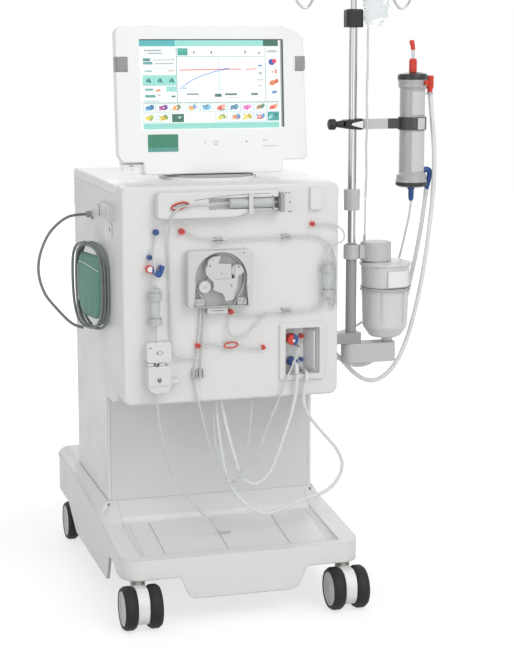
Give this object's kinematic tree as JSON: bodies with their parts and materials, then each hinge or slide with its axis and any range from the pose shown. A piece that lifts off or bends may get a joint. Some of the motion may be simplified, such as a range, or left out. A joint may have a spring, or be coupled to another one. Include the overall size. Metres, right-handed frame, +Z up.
{
  "type": "haemodialysis machine",
  "caption": "Floor-standing haemodialysis machine: wheeled base, column, front blood pump and syringe pump, tilting screen, side pole with dialyser and cartridge.",
  "frame": {"origin": "on the floor, under the middle of the whole object without its free cords", "axes": "+Z up, the operating panel faces -Y, +X to the right of someone facing the panel; the pole stands on +X"},
  "size_m": [0.933, 0.927, 1.444],
  "materials": {
    "base_shell": "satin moulded",
    "cabinet_paint": "satin",
    "frame_paint": "semi-gloss",
    "tank_plastic": "matt",
    "module_metal": "brushed",
    "pump_shell": "satin",
    "light_plastic": "satin",
    "syringe_clear": "clear",
    "clear_plastic": "clear",
    "clear_tube": "clear",
    "red_blue_caps": "gloss",
    "grey_fittings": "satin",
    "cuff_cloth": "woven",
    "hose_grey": "matt",
    "pole_grey": "satin",
    "pole_steel": "polished",
    "dark_plastic": "satin",
    "dialyser_grey": "satin",
    "dialyser_dark": "gloss",
    "cartridge_white": "satin",
    "arm_grey": "satin",
    "monitor_shell": "satin",
    "screen_glass": "gloss",
    "stand_grey": "satin",
    "wheel_tyre": "rubber",
    "bag_film": "clear film"
  },
  "bodies": {
    "cabinet": {"base_cover": "base_shell", "base_frame": "frame_paint", "pedestal_panel": "cabinet_paint", "cabinet_panels": "cabinet_paint", "top_cover": "cabinet_paint", "front_fascia": "cabinet_paint", "hydraulic_unit": "tank_plastic", "electrical_modules": "module_metal", "pump_housing": "pump_shell", "syringe_pump_body": "light_plastic", "syringe_barrel": "syringe_clear", "level_detector": "light_plastic", "venous_clamp": "light_plastic", "panel_clips": "grey_fittings", "drip_chambers": "clear_plastic", "blood_lines": "clear_tube", "line_fittings": "red_blue_caps", "recess_frame": "light_plastic", "side_fittings": "grey_fittings", "pressure_cuff": "cuff_cloth", "pole_tube": "pole_grey", "dialyser_clamp": "dark_plastic", "dialyser_shell": "dialyser_grey", "dialyser_ends": "dialyser_dark", "cuff_hose": "hose_grey", "cuff_coil": "hose_grey", "dialysate_hose_a": "clear_tube", "dialysate_hose_b": "clear_tube", "dialyser_line": "clear_tube", "line_v1": "clear_tube", "line_u1": "clear_tube", "line_u2": "clear_tube", "line_u3": "clear_tube", "line_u4": "clear_tube"},
    "stand": {"monitor_stand": "stand_grey"},
    "monitor": {"monitor_bezel": "monitor_shell", "monitor_glass": "screen_glass", "monitor_rear": "monitor_shell"},
    "syringe_drive": {"syringe_pusher": "light_plastic"},
    "syringe_holder": {"syringe_clip": "light_plastic"},
    "rotor": {"pump_rotor": "light_plastic"},
    "roller_left": {"pump_roller_left": "light_plastic"},
    "roller_right": {"pump_roller_right": "light_plastic"},
    "lever": {"clamp_lever": "light_plastic"},
    "flap": {"port_flap": "cabinet_paint"},
    "infusion_rod": {"pole_rod": "pole_steel", "hanging_bag": "bag_film", "drip_line": "clear_tube"},
    "knob": {"clamp_knob": "dark_plastic"},
    "holder_head": {"cartridge_head": "arm_grey"},
    "holder_arm": {"cartridge_arm": "arm_grey", "cartridge_cup": "cartridge_white"},
    "caster_front_left": {"caster_housing_front_left": "pole_grey"},
    "wheels_front_left": {"caster_wheels_front_left": "wheel_tyre"},
    "caster_front_right": {"caster_housing_front_right": "pole_grey"},
    "wheels_front_right": {"caster_wheels_front_right": "wheel_tyre"},
    "caster_rear_left": {"caster_housing_rear_left": "pole_grey"},
    "wheels_rear_left": {"caster_wheels_rear_left": "wheel_tyre"},
    "caster_rear_right": {"caster_housing_rear_right": "pole_grey"},
    "wheels_rear_right": {"caster_wheels_rear_right": "wheel_tyre"}
  },
  "joints": [
    {"name": "swivel_front_left", "type": "hinge", "parent": "cabinet", "child": "caster_front_left", "pos_m": [-0.353, -0.384, 0.1], "axis": [0, 0, 1], "continuous": true},
    {"name": "wheel_front_left", "type": "hinge", "parent": "caster_front_left", "child": "wheels_front_left", "pos_m": [-0.353, -0.414, 0.05], "axis": [1, 0, 0], "continuous": true},
    {"name": "swivel_front_right", "type": "hinge", "parent": "cabinet", "child": "caster_front_right", "pos_m": [0.137, -0.384, 0.1], "axis": [0, 0, 1], "continuous": true},
    {"name": "wheel_front_right", "type": "hinge", "parent": "caster_front_right", "child": "wheels_front_right", "pos_m": [0.137, -0.414, 0.05], "axis": [1, 0, 0], "continuous": true},
    {"name": "swivel_rear_left", "type": "hinge", "parent": "cabinet", "child": "caster_rear_left", "pos_m": [-0.353, 0.34, 0.1], "axis": [0, 0, 1], "continuous": true},
    {"name": "wheel_rear_left", "type": "hinge", "parent": "caster_rear_left", "child": "wheels_rear_left", "pos_m": [-0.353, 0.31, 0.05], "axis": [1, 0, 0], "continuous": true},
    {"name": "swivel_rear_right", "type": "hinge", "parent": "cabinet", "child": "caster_rear_right", "pos_m": [0.137, 0.34, 0.1], "axis": [0, 0, 1], "continuous": true},
    {"name": "wheel_rear_right", "type": "hinge", "parent": "caster_rear_right", "child": "wheels_rear_right", "pos_m": [0.137, 0.31, 0.05], "axis": [1, 0, 0], "continuous": true},
    {"name": "monitor_swivel", "type": "hinge", "parent": "cabinet", "child": "stand", "pos_m": [-0.108, -0.092, 1], "axis": [0, 0, 1], "range_deg": [-60, 60]},
    {"name": "monitor_tilt", "type": "hinge", "parent": "stand", "child": "monitor", "pos_m": [-0.108, -0.045, 1.116], "axis": [1, 0, 0], "range_deg": [-15, 0]},
    {"name": "syringe_push", "type": "slide", "parent": "cabinet", "child": "syringe_drive", "axis": [1, 0, 0], "range_m": [0, 0.06]},
    {"name": "syringe_clip_lift", "type": "hinge", "parent": "cabinet", "child": "syringe_holder", "pos_m": [-0.074, -0.3412, 0.9695], "axis": [-1, 0, 0], "range_deg": [0, 85]},
    {"name": "rotor_spin", "type": "hinge", "parent": "cabinet", "child": "rotor", "pos_m": [-0.142, -0.325, 0.778], "axis": [0, 1, 0], "continuous": true},
    {"name": "roller_spin_left", "type": "hinge", "parent": "rotor", "child": "roller_left", "pos_m": [-0.18006, -0.331, 0.76025], "axis": [0, 1, 0], "continuous": true},
    {"name": "roller_spin_right", "type": "hinge", "parent": "rotor", "child": "roller_right", "pos_m": [-0.10394, -0.331, 0.79575], "axis": [0, 1, 0], "continuous": true},
    {"name": "clamp_release", "type": "slide", "parent": "cabinet", "child": "lever", "axis": [-1, 0, 0], "range_m": [0, 0.006], "stiffness_N_per_m": 300},
    {"name": "flap_hinge", "type": "hinge", "parent": "cabinet", "child": "flap", "pos_m": [0.0755, -0.3114, 0.952], "axis": [0, 0, -1], "range_deg": [0, 85]},
    {"name": "rod_height", "type": "slide", "parent": "cabinet", "child": "infusion_rod", "axis": [0, 0, 1], "range_m": [0, 0.2]},
    {"name": "knob_turn", "type": "hinge", "parent": "cabinet", "child": "knob", "pos_m": [0.154, -0.213, 1.114], "axis": [1, 0, 0], "continuous": true},
    {"name": "head_swing", "type": "hinge", "parent": "cabinet", "child": "holder_head", "pos_m": [0.214, -0.213, 0.812], "axis": [0, 0, -1], "range_deg": [0, 80]},
    {"name": "arm_swing", "type": "hinge", "parent": "cabinet", "child": "holder_arm", "pos_m": [0.214, -0.213, 0.567], "axis": [0, 0, -1], "range_deg": [0, 80]}
  ]
}
